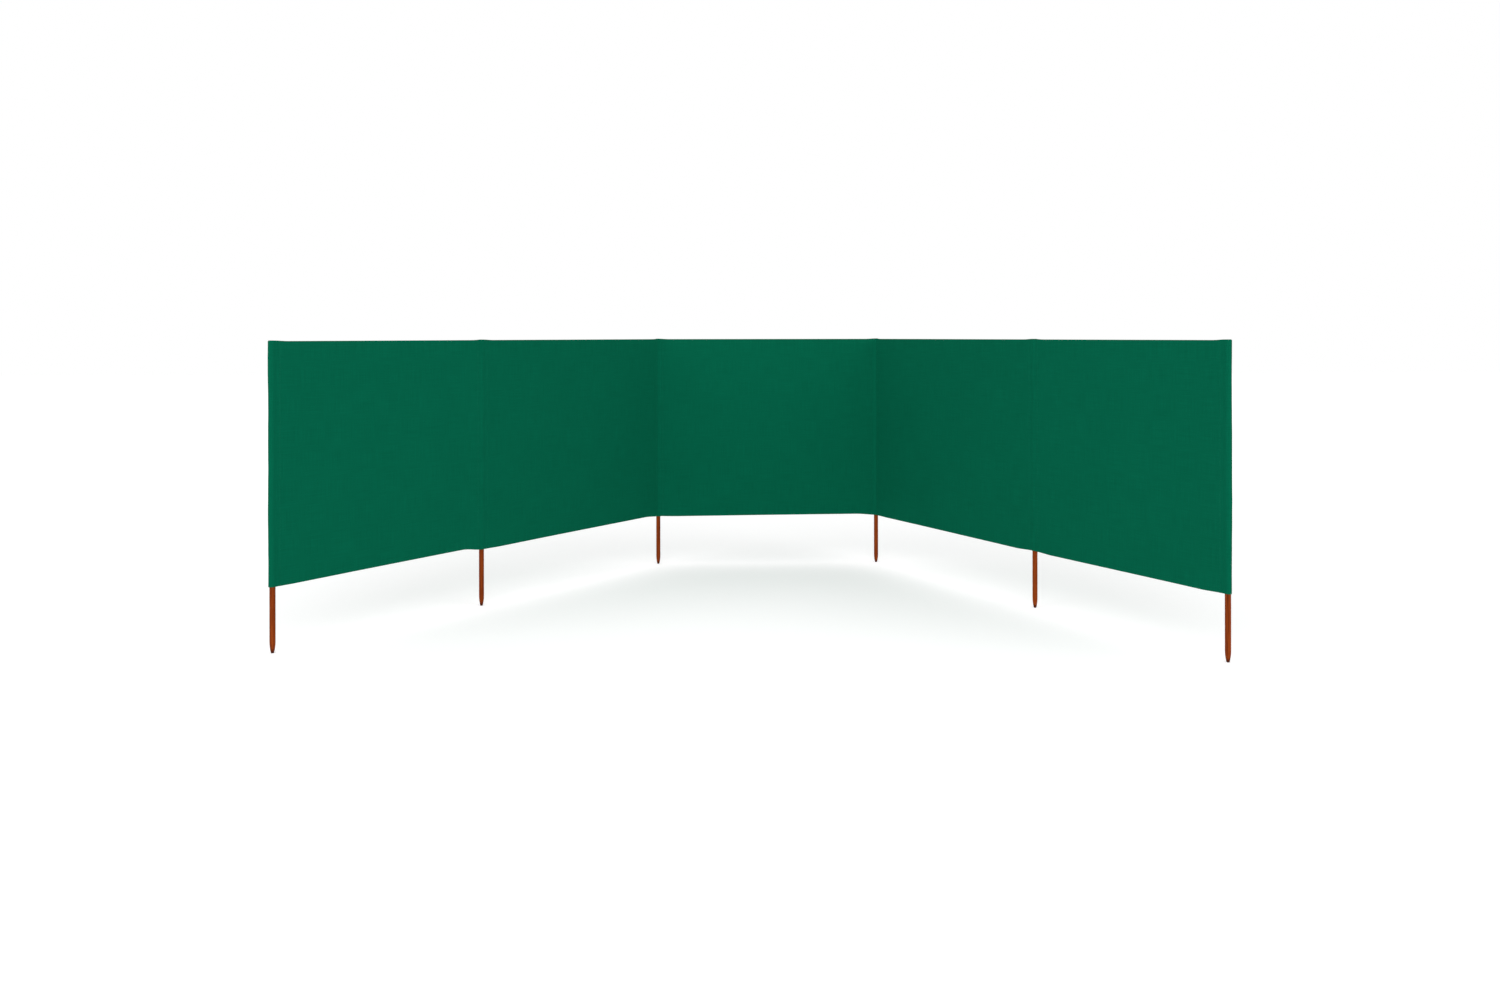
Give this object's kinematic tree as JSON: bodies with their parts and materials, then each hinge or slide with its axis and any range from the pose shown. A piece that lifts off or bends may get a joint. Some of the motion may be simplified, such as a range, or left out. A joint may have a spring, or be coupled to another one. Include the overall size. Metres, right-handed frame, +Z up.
{
  "type": "fabric windbreak",
  "caption": "Free-standing beach windbreak: a strip of cloth stretched in bays between round wooden poles held in sewn sleeves, with pointed ends to push into the ground.",
  "frame": {"origin": "centre of the flat end of the first pole's point, at the left end of the row as seen from the sheltered side", "axes": "+X along the middle bay to the right, +Y away from the sheltered side, +Z up along the poles"},
  "size_m": [3.6398, 1.8963, 1.2012],
  "materials": {
    "pole_wood": "reddish-brown stained, satin",
    "cloth": "matt woven canvas"
  },
  "bodies": {
    "root": {"pole_1": "pole_wood", "pole_2": "pole_wood", "pole_3": "pole_wood", "pole_4": "pole_wood", "pole_5": "pole_wood", "pole_6": "pole_wood", "sleeve_1": "cloth", "sleeve_2": "cloth", "sleeve_3": "cloth", "sleeve_4": "cloth", "sleeve_5": "cloth", "sleeve_6": "cloth", "panel_1": "cloth", "panel_2": "cloth", "panel_3": "cloth", "panel_4": "cloth", "panel_5": "cloth", "top_hem_1": "cloth", "top_hem_2": "cloth", "top_hem_3": "cloth", "top_hem_4": "cloth", "top_hem_5": "cloth", "bottom_hem_1": "cloth", "bottom_hem_2": "cloth", "bottom_hem_3": "cloth", "bottom_hem_4": "cloth", "bottom_hem_5": "cloth"}
  },
  "joints": []
}
